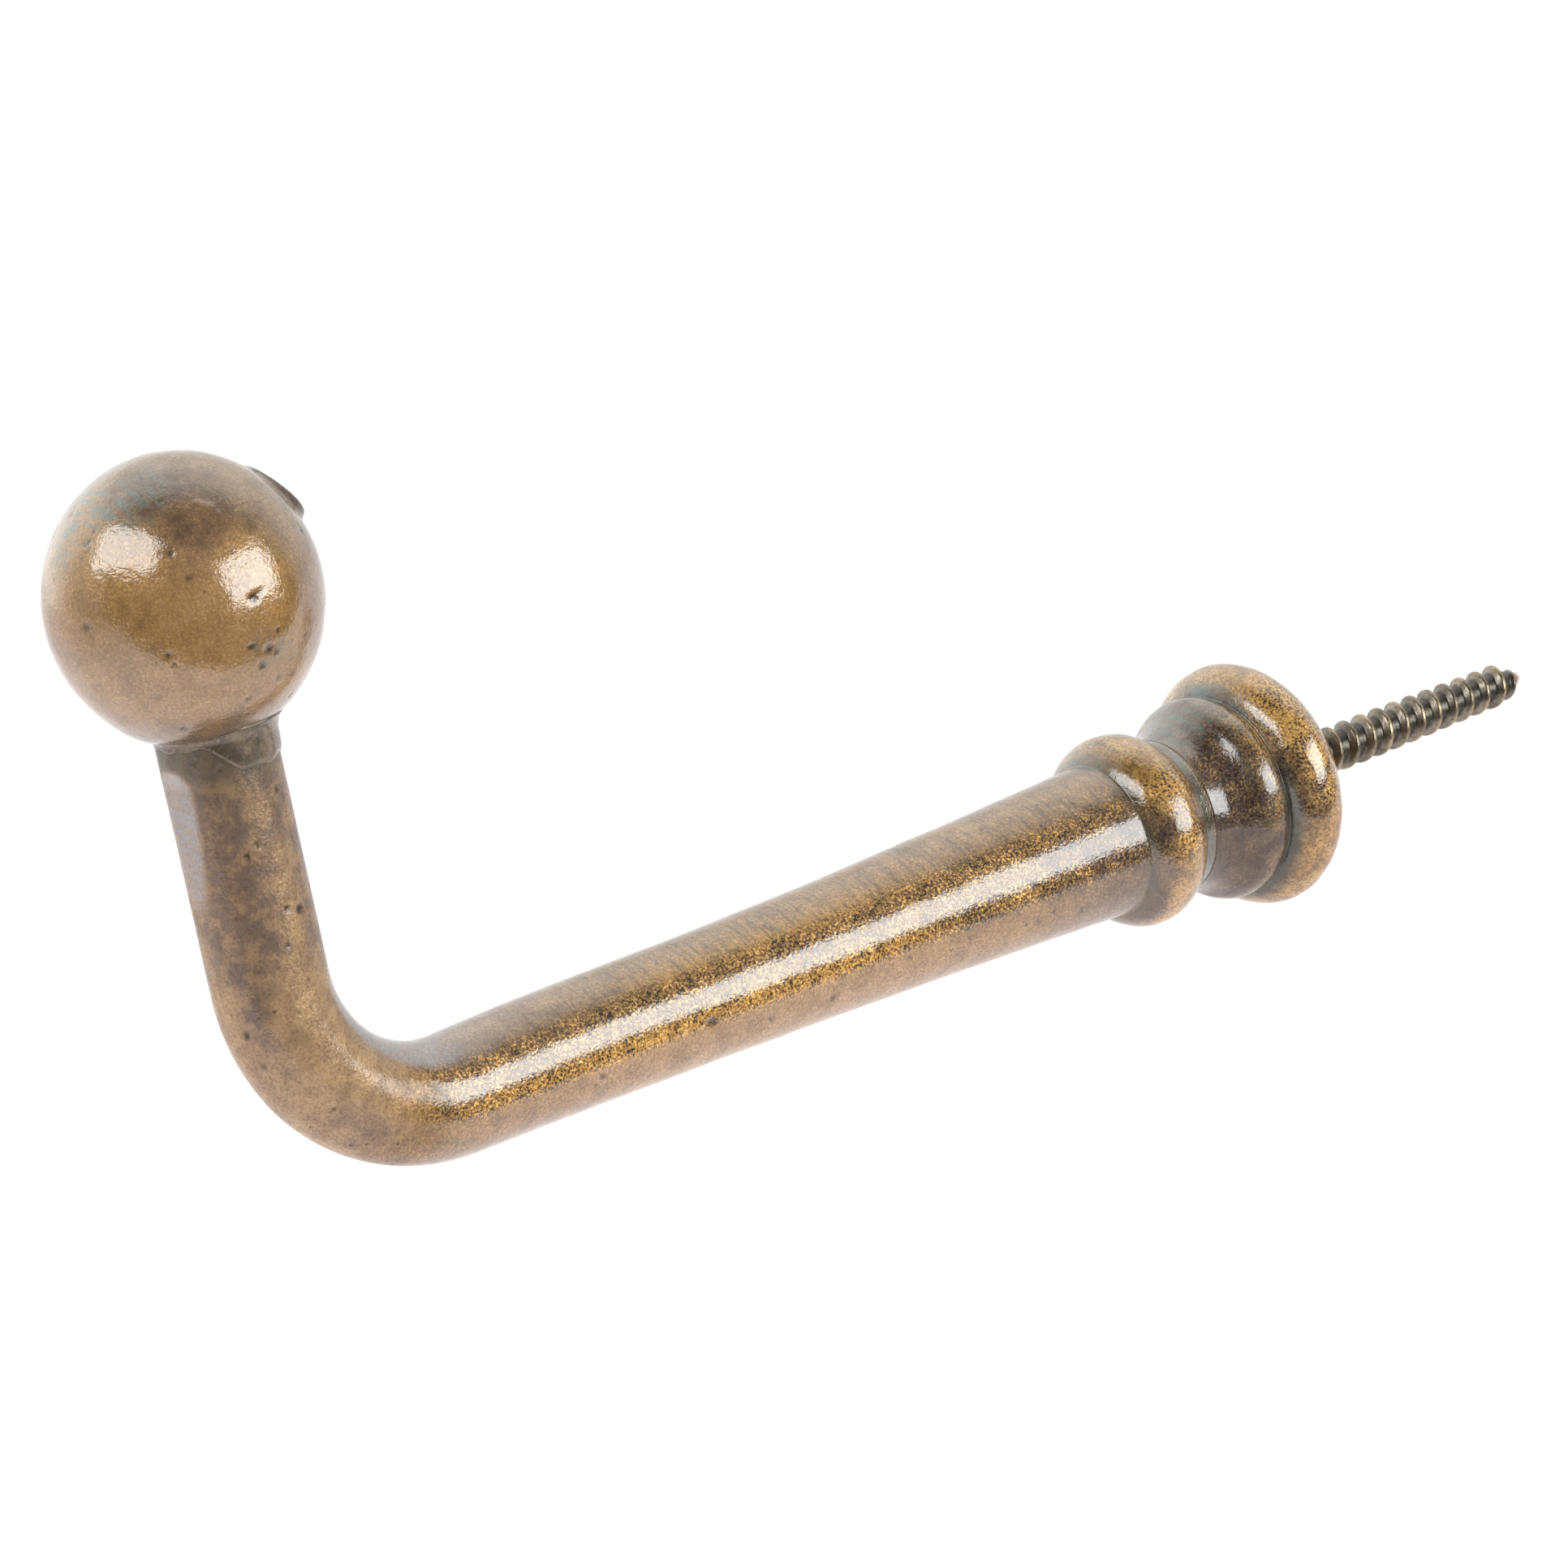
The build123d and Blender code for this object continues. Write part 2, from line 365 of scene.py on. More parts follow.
def boss_masks(out, outside, turn):
    """The boss's finish, by the distance out from the wall and the angle."""
    none = 0 * out * turn
    crown, crease, shoulder = RIM_CROWN[0], CREASE[0], SHOULDER[0]
    lit_side = near(turn, 42, 30)
    low_side = 1 - above(turn, -14, -4)
    room_side = smooth(out, crease - 1.3, crease + 0.2)
    # the shoulder's lit side, kept light: a painted glow where the lamp falls
    lit_shoulder = bell(out, shoulder - 0.6, 1.7) * lit_side
    grooves = bell(out, crease, 0.7) + 0.5 * bell(out, BOSS_LENGTH, 1.6)
    # darker on the rim's front: tarnish and painted shade on its dark side
    rim_smoke_and_shade = 0.7 * bell(out, crown + 1.9, 1.6) * near(turn, 0, 24)
    rim_smoke_and_shade = rim_smoke_and_shade + 0.25 * bell(out, crown, 3) * near(turn, -10, 45)
    cove_stain = 0.3 * bell(out, 10.2, 2.4) + near(turn, 95, 32) * room_side
    return {
        "worn": none + bell(out, crown + 0.6, 2.4) * outside + 0.4 * bell(out, shoulder, 0.9),
        # golden on the lit side of the shoulder and crown: painted golden glow beside the lamps'
        # highlights
        "gold_and_glow": bell(out, shoulder, 1.5) * lit_side + bell(out, crown + 1.0, 3.2) * near(turn, 36, 24),
        # grime and painted shade in the crease and at the joint with the casting, spared on the lit side
        "grime_and_shade": grooves * (1 - 0.95 * near(turn, 46, 34)),
        # tarnish and painted shade over the shoulder and cove, lighter where the lamp falls on the
        # shoulder
        "smoke_and_shade": np.clip(room_side * (1 - 0.6 * lit_shoulder), 0, 1) + rim_smoke_and_shade,
        "ash": none,
        "plain": none,
        "dull": none + 0.6 * low_side,
        # rosy tan on the lower side: painted reflection of the floor
        "rosy_tone_and_floor_sheen": 0.5 * low_side * (1 - room_side),
        "brushed": none + 0.8 * room_side,
        "ground": none,
        "pit": none,
        # speckle contrast, raised in the band beside the lamps' highlights as painted glints
        "contrast_and_glints": 0.35 + 0.85 * between(turn, -12, -2, 48, 75) * outside,
        "verdigris": cove_stain + 0.5 * bell(out, crease, 1.0),
    }


def make_boss():
    """The turned boss, very slightly uneven outside under its lacquer."""
    angles = circle_angles(BOSS_SIDES)
    outline = boss_outline()
    rings = turned(outline, angles)
    out, radius = outline[:, :1], outline[:, 1:]
    outside = smooth(radius, BORE_RADIUS, BORE_RADIUS + 4)
    outside = outside * smooth(out, 0, 1) * smooth(BOSS_LENGTH - out, 0, 1)
    rise = outside * uneven(rings, BOSS_LUMPS)
    outwards = rings * [1, 0, 1] / np.maximum(radius, 1)[..., None]
    rings = rings + outwards * rise[..., None]
    return skin("turned_base_boss", rings, boss_masks(out, outside, mirrored(angles)), looped=True)


def stem_outline():
    """Collar bead and tapered stem."""
    return joined(
        arc(COLLAR_ROOT, COLLAR_CROWN, STEM_START, COLLAR_STEP),
        arc(STEM_START, STEM_MIDDLE, STEM_END, STEM_STEP),
    )


def casting_stations():
    """Along the hook's outside: distance, centre, upward way across the path, and radius."""
    neck = straight((HOOK_FACE, NECK_RADIUS), COLLAR_ROOT, CURVE_STEP)
    stem = joined(neck, stem_outline())
    stations = [(out, (0, -out, 0), (0, 0, 1), radius) for out, radius in stem]
    for turn in np.linspace(0, pi / 2, BEND_RINGS)[1:]:
        centre = (0, -STEM_END[0] - BEND_RADIUS * sin(turn), BEND_RADIUS * (1 - cos(turn)))
        radius = STEM_END[1] + (ARM_RADIUS - STEM_END[1]) * turn / (pi / 2)
        stations.append((STEM_END[0] + BEND_RADIUS * turn, centre, (0, sin(turn), cos(turn)), radius))
    for z in np.arange(BEND_RADIUS, SEAT_HEIGHT, ARM_STEP)[1:].tolist() + [SEAT_HEIGHT]:
        stations.append((BEND_END + z - BEND_RADIUS, (0, -ARM_OUT, z), (0, 1, 0), ARM_RADIUS))
    return [np.array(column, float) for column in zip(*stations)]


def past_neck(s):
    """0 on the casting's neck, which meets the boss, and 1 beyond it."""
    return smooth(s, COLLAR_ROOT[0], COLLAR_ROOT[0] + 2)


def on_stem(out, angle):
    """The point of the stem's surface at that distance from the wall, turned from +X towards +Z."""
    radius = np.interp(out, *zip(STEM_START, STEM_MIDDLE, STEM_END))
    return (radius * cos(radians(angle)), -out, radius * sin(radians(angle)))


def on_bend(turn, angle):
    """The point of the bend's surface, turn degrees round it, and from +X towards its inner side."""
    turn, angle = radians(turn), radians(angle)
    inwards = BEND_RADIUS - ARM_RADIUS * sin(angle)
    out = STEM_END[0] + inwards * sin(turn)
    return (ARM_RADIUS * cos(angle), -out, BEND_RADIUS - inwards * cos(turn))


def on_arm(height, angle):
    """The point of the upper arm's surface at that height, turned from +X towards the wall."""
    return (ARM_RADIUS * cos(radians(angle)), ARM_RADIUS * sin(radians(angle)) - ARM_OUT, height)


def casting_marks():
    """The pits and knocks that the casting came with, and a scatter of finer ones."""
    marks = [
        (on_stem(79.4, -7), 0.60, -0.26), (on_stem(78.5, -5), 0.45, 0.10),
        (on_stem(92.5, -19), 0.50, -0.16), (on_stem(93.2, -26), 0.40, -0.12),
        (on_stem(55.0, -17), 0.35, -0.12), (on_stem(64.5, -29), 0.60, -0.12),
        (on_stem(48.0, 39), 0.55, 0.10), (on_stem(56.0, 46), 0.35, -0.10),
        (on_stem(41.0, -15), 0.35, -0.12),
        (on_bend(81, -66), 0.60, -0.20), (on_bend(72, -63), 0.45, -0.12), (on_bend(39, -33), 0.30, -0.10),
        (on_arm(23.5, 19), 0.65, -0.18), (on_arm(24.0, 4), 0.40, -0.14), (on_arm(30.5, -12), 0.45, -0.10),
    ]
    small, large = PIT_SIZES
    draw = np.random.default_rng(7)
    for out, angle, size in draw.uniform((28, -180, small), (104, 180, large), (STEM_PITS, 3)):
        if not CLEAN_SIDE[0] < angle < CLEAN_SIDE[1]:
            marks.append((on_stem(out, angle), size, -PIT_SLOPE * size))
    for turn, angle, size in draw.uniform((0, -180, small), (90, 180, large), (BEND_PITS, 3)):
        marks.append((on_bend(turn, angle), size, -PIT_SLOPE * size))
    for height, angle, size in draw.uniform((17, -70, small), (37, 180, large), (ARM_PITS, 3)):
        marks.append((on_arm(height, angle), size, -PIT_SLOPE * size))
    return marks


def grind_flat(s, angles, reach):
    """The radius with the flat ground on the arm's room side, and where that leaves bare metal."""
    drop = s[-1] - s
    depth = FLAT_DEPTH * smooth(drop, *FLAT_TOP) * (1 - smooth(drop, *FLAT_FADE))
    towards_room = np.cos(angles + pi / 2)
    plane = (ARM_RADIUS - depth) / np.maximum(towards_room, FLAT_SIDE)
    plane = np.where(towards_room < FLAT_SIDE, OUT_OF_REACH, plane)

    # the lesser of the two, with the edge between them rounded
    blend = np.clip(0.5 + (plane - reach) / (4 * FLAT_SOFTNESS), 0, 1)
    flattened = reach * blend + plane * (1 - blend) - FLAT_SOFTNESS * blend * (1 - blend) * 2
    near_arm = smooth(-drop, -FLAT_FADE[1] - 4, -FLAT_FADE[1])
    bare = near_arm * (1 - blend) * smooth(depth, 0.02, 0.2)
    return reach + (flattened - reach) * near_arm, bare


def casting_gold_and_glow(s, turn, stem, bend, arm):
    """Where the patina is lighter and golden: bands beside the lamp's highlight strip on the stem and the
    bend, which are a painted golden glow, and rubbed brass on the collar and along the arm's edge.
    """
    # painted golden glow: bands just below and above the lamp's highlight strip, which lies at 16 degrees
    bands = stem * (near(turn, -5, 13) + 0.9 * near(turn, 48, 12) * (1 - smooth(s, 82, 90)))
    collar = bell(s, COLLAR_CROWN[0], 2.2) * near(turn, 45, 26)
    edge = 0.5 * arm * near(turn, -68, 7) * (1 - smooth(s, s[-1] - 12, s[-1] - 6))
    drip = 1.6 * bell(s, s[-1] - 4.4, 0.8) * near(turn, -26, 11)
    return bands + 0.25 * bend * near(turn, -5, 16) + collar + edge + drip


def casting_smoke_and_shade(s, turn, body, stem, arm):
    """Where the patina is darkest, partly sooty tarnish and partly painted shade: the neck, the stem's
    foot, and lines along the stem.
    """
    start = STEM_START[0]
    foot = smooth(s, start, start + 1) * (1 - smooth(s, start + 3, start + 20))
    neck = 1 - smooth(s, COLLAR_ROOT[0], COLLAR_CROWN[0] - 1.5)
    # painted shade in the neck, the stem's foot and the collar's room side, lighter on the lit upper side
    smoke_and_shade = 0.6 * neck * (1 - near(turn, 60, 30)) + 0.75 * foot * (1 - 0.6 * near(turn, 60, 30))
    smoke_and_shade = smoke_and_shade + bell(s, COLLAR_CROWN[0] + 2.4, 1.1) * (1 - above(turn, 12, 30))
    # painted shade under the lamp's highlight strip at 16 degrees, and a painted dark reflection in the
    # band above it
    smoke_and_shade = smoke_and_shade + 0.25 * body * near(turn, 16, 8) + 0.25 * stem * near(turn, 33, 7)
    smoke_and_shade = smoke_and_shade + 0.50 * smooth(s, 84, 96) * near(turn, -60, 32) * (1 - arm)
    return smoke_and_shade + 0.40 * smooth(s, 85, 92) * near(turn, 55, 14) * (1 - arm)


def casting_ash(s, turn, inner):
    """Where the dull finish is darkest: a band along the arm that starts low on the bend."""
    ash = smooth(np.cos(turn + radians(36)), 0.66, 0.95)
    ash = ash + 0.6 * (near(turn, 40, 22) + near(turn, -85, 16))
    ash = smooth(s, BEND_END - 1, BEND_END + 6) * (0.2 + ash)
    ash = ash + smooth(s, s[-1] - 11, s[-1] - 6) * near(turn, 0, 60)
    ash = ash + bell(s, BEND_END - 0.5, 4.5) * near(turn, -50, 17) + inner
    return ash + 0.9 * near(turn, -38, 17) * (1 - smooth(s, STEM_END[0] + 11, STEM_END[0] + 17))


def casting_masks(s, turn, bare, marks):
    """The casting's finish, by the distance along it and the angle."""
    none = 0 * s * turn
    seat, stem_end = s[-1], STEM_END[0]
    linished = smooth(s, stem_end - 8, stem_end + 6) * (1 - smooth(s, BEND_END - 4, BEND_END + 3))
    bare = np.maximum(bare, linished * above(turn, 36, 47))
    patina = 1 - bare
    body = past_neck(s)
    stem = smooth(s, 46, 60) * (1 - smooth(s, 100, 110))
    bend = smooth(s, stem_end - 3, stem_end + 5) * (1 - smooth(s, BEND_END - 2, BEND_END + 8))
    arm = smooth(s, BEND_END - 6, BEND_END + 6)
    inner = smooth(s, 84, 100) * near(turn, 90, 42)
    plain = smooth(s, stem_end + 5, stem_end + 13) + 0.8 * inner * (1 - smooth(s, stem_end, stem_end + 6))
    dull = smooth(s, stem_end + 1, stem_end + 9) * patina
    low_stem = near(turn, -75, 32) * (1 - smooth(s, 82, 94))
    # bands beside the lamp's highlight strip, where painted glints make the speckle stronger
    glint_bands = between(turn, -14, -7, 34, 52) * (1 - 0.7 * near(turn, 16, 9)) * (1 - smooth(s, 104, 118))
    return {
        "worn": none + bell(s, COLLAR_CROWN[0] + 0.4, 1.9),
        "gold_and_glow": casting_gold_and_glow(s, turn, stem, bend, arm) * patina,
        # grime and painted shade in the creases either side of the collar and on the arm under the ball
        "grime_and_shade": bell(s, COLLAR_ROOT[0] - 0.4, 0.9)
        + 0.9 * bell(s, STEM_START[0], 0.8)
        + 0.7 * smooth(s, seat - 7, seat - 1.5) * patina,
        "smoke_and_shade": np.clip(casting_smoke_and_shade(s, turn, body, stem, arm), 0, 1),
        "ash": np.clip(casting_ash(s, turn, inner), 0, 1) * patina,
        "plain": np.clip(plain, 0, 1) * patina,
        "dull": np.maximum(dull, 0.5 * low_stem),
        # rosy tan on the lower side: painted reflection of the floor
        "rosy_tone_and_floor_sheen": body * (0.4 + 0.6 * stem) * (1 - above(turn, -15, -8)),
        "brushed": body * above(turn, 40, 52) * (1 - smooth(s, 96, 104)),
        "ground": bare,
        "pit": np.clip(-marks / PIT_SHADE_DEPTH, 0, 1),
        "contrast_and_glints": 0.38 + 0.9 * glint_bands,
        "verdigris": 0.7 * bell(s, COLLAR_ROOT[0] - 0.6, 0.9)
        + 0.5 * smooth(s, seat - 6, seat - 1) * patina
        + 0.8 * bell(s, STEM_START[0] - 0.5, 2.0) * near(turn, 90, 24),
    }


def tapped_hole(angles):
    """The hole for the hanger screw, from its drilled end to the casting's end face."""
    hole_end = BOSS_LENGTH + TAPPED_DEPTH
    outline = joined(
        straight((hole_end + DRILL_CONE, 0.1), (hole_end, BORE_RADIUS), 1.0),
        straight((hole_end, BORE_RADIUS), (HOOK_FACE, BORE_RADIUS), 0.5),
        straight((HOOK_FACE, BORE_RADIUS), (HOOK_FACE, NECK_RADIUS), HIDDEN_STEP),
    )
    return turned(outline[:-1], angles)


def arm_socket(angles):
    """The arm's flat top and the stud's hole in it."""
    section = [(radius, SEAT_HEIGHT) for radius in reversed(SOCKET_RADII)]
    section += [(STUD_RADIUS, z) for z in np.linspace(SEAT_HEIGHT, stud_low.z, SOCKET_RINGS)]
    return upright(section, angles)


def make_casting():
    """Collar, stem, bend and upper arm in one skin, with its tapped hole and the stud's hole."""
    angles = circle_angles(CASTING_SIDES)
    along, centre, up, radius = casting_stations()
    s = along[:, None]
    across = np.array([1.0, 0, 0]) * np.cos(angles)[None, :, None]
    side = across + up[:, None, :] * np.sin(angles)[None, :, None]
    form = centre[:, None, :] + side * radius[:, None, None]

    # the stem swells a little on its upper side before the bend, and the cast surface is not quite true
    reach = radius[:, None] + SWELL * bell(s, *SWELL_PLACE) * np.clip(np.sin(angles), 0, 1)
    reach = reach + past_neck(s) * uneven(form, CASTING_LUMPS)
    reach = reach + bell(s, COLLAR_CROWN[0], 3.0) * uneven(form, COLLAR_LUMPS)
    marks = dents(form, casting_marks())
    reach, bare = grind_flat(s, angles, reach + marks)

    rings = centre[:, None, :] + side * reach[..., None]
    start, end = tapped_hole(angles), arm_socket(angles)
    masks = with_hidden(casting_masks(s, mirrored(angles), bare, marks), len(start), len(end))
    return skin("hook_casting", np.concatenate([start, rings, end]), masks)


def on_ball(azimuth, elevation):
    """The point of the ball's surface, about its own middle, turned from +X towards the wall."""
    azimuth, elevation = radians(azimuth), radians(elevation)
    level = BALL_RADIUS * cos(elevation)
    return (level * cos(azimuth), level * sin(azimuth), BALL_HALF_HEIGHT * sin(elevation))


def ball_marks():
    """The pits and knocks that the ball came with, and a scatter of finer pits."""
    marks = [
        (on_ball(-0.7, 2.8), 0.65, -0.22), (on_ball(2.5, 4.6), 0.40, -0.10),
        (on_ball(-5.7, 42), 0.95, 0.13), (on_ball(-2.0, 38), 0.50, 0.09), (on_ball(-9.0, 45), 0.50, 0.08),
        (on_ball(-5.0, -15), 0.50, -0.12), (on_ball(3.0, -18), 0.60, -0.14),
        (on_ball(6.5, -20), 0.45, -0.12), (on_ball(-1.0, -24), 0.55, -0.12),
        (on_ball(8.0, -12), 0.40, -0.10),
    ]
    small, large = PIT_SIZES
    draw = np.random.default_rng(3)
    for azimuth, elevation, size in draw.uniform((-180, -60, small), (180, 70, large), (BALL_PITS, 3)):
        marks.append((on_ball(azimuth, elevation), size, -PIT_SLOPE * size))
    return marks


def facing(ways, azimuth, elevation, spread):
    """1 where a way points there, falling to 0 at about spread degrees off."""
    aim = np.array(on_ball(azimuth, elevation)) / (BALL_RADIUS, BALL_RADIUS, BALL_HALF_HEIGHT)
    off = np.degrees(np.arccos(np.clip(ways @ aim, -1, 1)))
    return 1 - smooth(off, 0.3 * spread, spread)


def gate_stub(way):
    """Where the casting gate's stub is, how far it stands out, and the dirt and painted shade in the
    corner round it.
    """
    level = cos(GATE_ELEVATION)
    gate = np.array([level * cos(GATE_AZIMUTH), level * sin(GATE_AZIMUTH), sin(GATE_ELEVATION)])
    cosine = way @ gate
    same_side = cosine > 0
    aside = BALL_RADIUS * np.sqrt(np.maximum(0, 1 - cosine**2))
    pad = (1 - smooth(aside - GATE_RADIUS, *GATE_EDGE)) * same_side
    lower_side = smooth(gate[2] - way[..., 2], *GATE_FACE)
    stub = GATE_HEIGHT * pad * (GATE_UPPER_SHARE + (1 - GATE_UPPER_SHARE) * lower_side)
    corner = 0.5 * bell(aside, GATE_RADIUS + GATE_EDGE[1], 0.5) * same_side
    return pad, stub, corner


def ball_masks(way, pad, corner, marks):
    """The ball's finish, by the way from its middle. Both sides look alike."""
    none = 0 * pad
    alike = np.concatenate([np.abs(way[..., :1]), way[..., 1:]], -1)
    down = -alike[..., 2]
    stain = facing(alike, -65, 55, 34) + facing(alike, -100, 40, 26) + 0.5 * facing(alike, 3, -20, 16)
    # tarnish and painted shade: darker underneath over the arm, on the gate pad and in patches round the
    # top and back
    soot_and_shade = 0.2 * facing(alike, 1, -18, 15) + 0.8 * pad + 0.4 * facing(alike, 20, 66, 50)
    soot_and_shade = soot_and_shade + 0.6 * facing(alike, 62, 0, 58) + 0.55 * facing(alike, -14, 46, 32)
    soot_and_shade = soot_and_shade + 0.6 * facing(alike, -52, 56, 24) + 0.8 * smooth(down, 0.58, 0.85)
    soot_and_shade = soot_and_shade + 0.4 * facing(alike, 19, 28, 16) + 0.4 * facing(alike, -22, 27, 18)
    return {
        "worn": none,
        "gold_and_glow": 0.65 * facing(alike, -14, 2, 50),
        "grime_and_shade": corner,
        "smoke_and_shade": np.clip(soot_and_shade, 0, 1),
        "ash": none,
        "plain": none,
        "dull": pad,
        # rosy tan on the lower half, a painted reflection of the floor, and a rosy patch towards the
        # front
        "rosy_tone_and_floor_sheen": 0.5 * smooth(down, 0.05, 0.35) + 0.8 * facing(alike, -20, 10, 42),
        "brushed": none,
        "ground": none,
        "pit": np.clip(-marks / PIT_SHADE_DEPTH + 0.5 * pad, 0, 1),
        "contrast_and_glints": none + 0.25,
        "verdigris": np.clip(stain, 0, 1),
    }


def ball_socket(angles):
    """The stud's hole, from its closed end down, and the ball's flat seat."""
    section = [(STUD_RADIUS * part, stud_high.z) for part in (0.1, 0.6)]
    section += [(STUD_RADIUS, z) for z in np.linspace(stud_high.z, SEAT_HEIGHT, SOCKET_RINGS)]
    section += [(radius, SEAT_HEIGHT) for radius in SOCKET_RADII]
    return upright(section, angles)


def make_ball():
    """The cast ball with its gate stub, flat seat and stud hole."""
    angles = circle_angles(BALL_SIDES)
    first = asin(ARM_RADIUS / BALL_RADIUS)
    polar = np.linspace(first, pi - POLE_GAP, BALL_RINGS)[:, None]
    way = np.stack([
        np.sin(polar) * np.cos(angles), np.sin(polar) * np.sin(angles), -np.cos(polar) + 0 * angles
    ], -1)
    form = way * [BALL_RADIUS, BALL_RADIUS, BALL_HALF_HEIGHT]
    shown = smooth(polar, first, first + 0.15)
    marks = dents(form, ball_marks())
    pad, stub, corner = gate_stub(way)
    rise = shown * uneven(form, BALL_LUMPS) + marks + stub
    surface = form + way * rise[..., None] + [0, -ARM_OUT, BALL_HEIGHT]
    socket = ball_socket(angles)
    masks = with_hidden(ball_masks(way, pad, corner, marks), len(socket))
    return skin("ball_knob", np.concatenate([socket, surface]), masks)


def make_braze():
    """The filler metal in the corner under the ball: thin on one side, with a wavy lower edge."""
    angles = circle_angles(BRAZE_SIDES)
    ring = np.stack([np.cos(angles), np.sin(angles), 0 * angles], -1)
    wave = lumps(ring * 5.0, 1.9, 4.0)
    thick_side = smooth(np.cos(angles - BRAZE_THICK_AT), cos(BRAZE_THIN_BEYOND), 0.4)
    height = BRAZE_HEIGHT @ np.stack([1 + 0 * wave, thick_side, wave])
    climb = BRAZE_CLIMB @ np.stack([1 + 0 * wave, thick_side, wave])
    proud = BRAZE_THICKNESS @ np.stack([1 + 0 * wave, thick_side**2])
    inside = ARM_RADIUS - BRAZE_SINK
    reach = np.sqrt(1 - ((BALL_HEIGHT - SEAT_HEIGHT - climb) / BALL_HALF_HEIGHT) ** 2) * BALL_RADIUS
    spread = reach - ARM_RADIUS
    section = [
        (inside, SEAT_HEIGHT - height),
        (ARM_RADIUS - 0.05, SEAT_HEIGHT - height - 0.05),
        (ARM_RADIUS + 0.25 * proud, SEAT_HEIGHT - height + 0.03),
        (ARM_RADIUS + 0.60 * proud, SEAT_HEIGHT - 0.93 * height),
        (ARM_RADIUS + 0.90 * proud, SEAT_HEIGHT - 0.80 * height),
        (ARM_RADIUS + proud, SEAT_HEIGHT - 0.55 * height),
        (ARM_RADIUS + proud + 0.04, SEAT_HEIGHT - 0.25 * height),
        (ARM_RADIUS + proud + 0.25 * spread, SEAT_HEIGHT + 0.1 * climb),
        (ARM_RADIUS + 0.6 * spread + 0.6 * proud, SEAT_HEIGHT + 0.55 * climb),
        (reach + 0.02, SEAT_HEIGHT + climb),
        (reach - BRAZE_SINK, SEAT_HEIGHT + climb),
        (inside, SEAT_HEIGHT + 0.2),
    ]
    rings = upright(section, angles)
    # the rings of the lower lip, where a highlight is painted
    edge = np.zeros(rings.shape[:2])
    edge[1:4] = 1
    return skin("braze_band", rings, {"edge": edge}, looped=True)


def thread_profile(phase, crest, root):
    """Height from 0 to 1 across one pitch, by the phase from 0 to 1: crest, sloping flanks and root."""
    away = np.abs((phase + 0.5) % 1.0 - 0.5) * 2
    return 1 - smooth(away, crest, root)


def wood_thread(out, turn):
    """The radius along the wood thread, the height on its ridge, and where it fades out."""
    tip = -SCREW_IN_WALL
    into_wall = -out - SHANK_LENGTH
    taper = smooth(out, tip, tip + WOOD_TAPER)
    crest = WOOD_CREST_RADIUS * (CREST_AT_TIP + (1 - CREST_AT_TIP) * taper)
    core = CORE_RADIUS * (CORE_AT_TIP + (1 - CORE_AT_TIP) * taper)
    core = TIP_RADIUS + (core - TIP_RADIUS) * np.clip((out - tip) / TIP_LENGTH, 0, 1) ** TIP_BULGE
    run_out = smooth(into_wall, 0.2, 2.2) * smooth(out - tip, 0.3, 3.4)
    ridge = thread_profile(into_wall / WOOD_PITCH - turn, *WOOD_PROFILE)
    shoulder = SHANK_RADIUS * (1 - smooth(into_wall, 0, SHANK_RADIUS - CORE_RADIUS + 0.4))
    return np.maximum(core + (crest - core) * ridge * run_out, shoulder), ridge, run_out


def machine_thread(out, turn):
    """The radius along the machine thread with its chamfered end, and the height on its ridge."""
    ridge = thread_profile(out / MACHINE_PITCH + turn, *MACHINE_PROFILE)
    chamfer = MACHINE_RADIUS - END_CHAMFER + SCREW_IN_HOOK - out
    return np.minimum(MACHINE_RADIUS - MACHINE_DEPTH * (1 - ridge), chamfer), ridge


def make_screw():
    """Wood thread, shank and machine thread, as one skin round the screw's axis."""
    angles = circle_angles(SCREW_SIDES)
    tip, wood_end = -SCREW_IN_WALL, -SHANK_LENGTH
    out = np.concatenate([
        np.arange(tip, wood_end, WOOD_STEP), np.arange(wood_end, MACHINE_START, SHANK_STEP),
        np.arange(MACHINE_START, SCREW_IN_HOOK, MACHINE_STEP), [SCREW_IN_HOOK],
    ])[:, None]
    turn = angles / (2 * pi)
    wood, wood_ridge, run_out = wood_thread(out, turn)
    machine, machine_ridge = machine_thread(out, turn)
    on_wood, on_machine = out < wood_end, out >= MACHINE_START
    kinds = [on_wood, on_machine]
    crests = [smooth(wood_ridge * run_out, 0.82, 1.0), smooth(machine_ridge, 0.8, 1)]
    radius = np.select(kinds, [wood, machine], SHANK_RADIUS)
    rings = np.stack([radius * np.cos(angles), -out + 0 * angles, radius * np.sin(angles)], -1)
    masks = {
        "worn": np.select(kinds, crests),
        "bare": 1 - smooth(out - tip, 0.2, 1.0) + 0 * angles,
        # grime and painted shade in the wood thread's roots
        "grime_and_shade": np.where(on_wood, 1 - smooth(wood_ridge, 0.0, 0.35), 0.3),
    }
    return skin("threaded_hanger_screw", rings, masks)


# ---------------------------------------------------------------- materials

